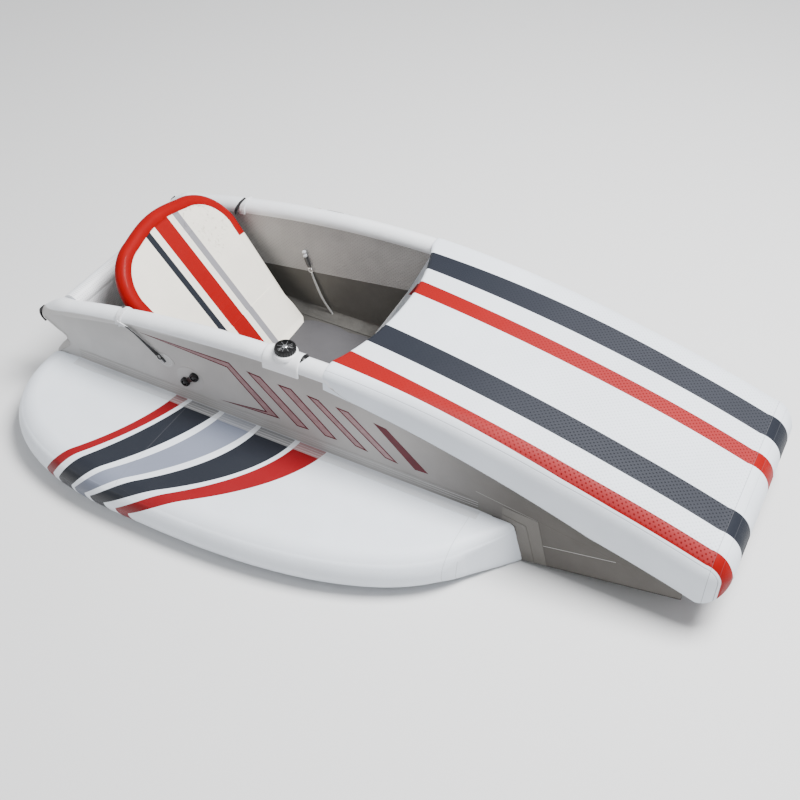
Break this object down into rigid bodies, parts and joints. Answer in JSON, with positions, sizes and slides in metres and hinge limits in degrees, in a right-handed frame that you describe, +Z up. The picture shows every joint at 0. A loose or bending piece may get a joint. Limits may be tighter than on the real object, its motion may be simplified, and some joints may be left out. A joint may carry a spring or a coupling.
{
  "type": "inflatable one-person mini jet boat",
  "caption": "Small inflatable sit-in boat of drop-stitch panels with a covered bow, round side wings, a leaning seat back and a rim valve.",
  "frame": {"origin": "on the floor under the middle of the boat's box, where it rests on its flat bottom", "axes": "+X toward the bow, +Y to port, +Z up"},
  "size_m": [2.2798, 1.6, 0.494],
  "materials": {
    "deck_pvc": "glossy white coated fabric with a fine diamond weave and red and dark grey stripes",
    "hull_pvc": "smooth white coated fabric with a soft gloss",
    "floor_pvc": "grey-brown coated fabric",
    "seat_pvc": "cream coated fabric with a red band and stripes",
    "floor_foam": "matt grey foam",
    "black_plastic": "moulded black plastic",
    "black_webbing": "woven black webbing",
    "white_webbing": "woven white webbing",
    "grey_cord": "grey braided cord"
  },
  "bodies": {
    "hull": {"foredeck": "deck_pvc", "floor_panel": "floor_pvc", "side_wall_port": "hull_pvc", "side_wall_starboard": "hull_pvc", "wing_port": "hull_pvc", "wing_starboard": "hull_pvc", "transom": "hull_pvc", "floor_mat": "floor_foam", "seat_hinge_sleeve": "floor_foam", "valve": "black_plastic", "valve_sleeve": "hull_pvc", "rim_loop_port": "white_webbing", "rim_loop_starboard": "white_webbing", "side_strap_port": "black_webbing", "side_strap_starboard": "black_webbing", "strap_anchor_port": "hull_pvc", "strap_anchor_starboard": "hull_pvc", "cord_clamp_port": "black_plastic", "cord_clamp_starboard": "black_plastic", "cord_hanger_port": "black_webbing", "cord_hanger_starboard": "black_webbing", "side_cord_port": "grey_cord", "side_cord_starboard": "grey_cord"},
    "seat": {"seat_back": "seat_pvc", "seat_tab_port": "black_webbing", "seat_tab_starboard": "black_webbing"}
  },
  "joints": [
    {"name": "seat_fold", "type": "hinge", "parent": "hull", "child": "seat", "pos_m": [-0.587, 0, 0.0588], "axis": [0, 1, 0], "range_deg": [0, 124]}
  ]
}
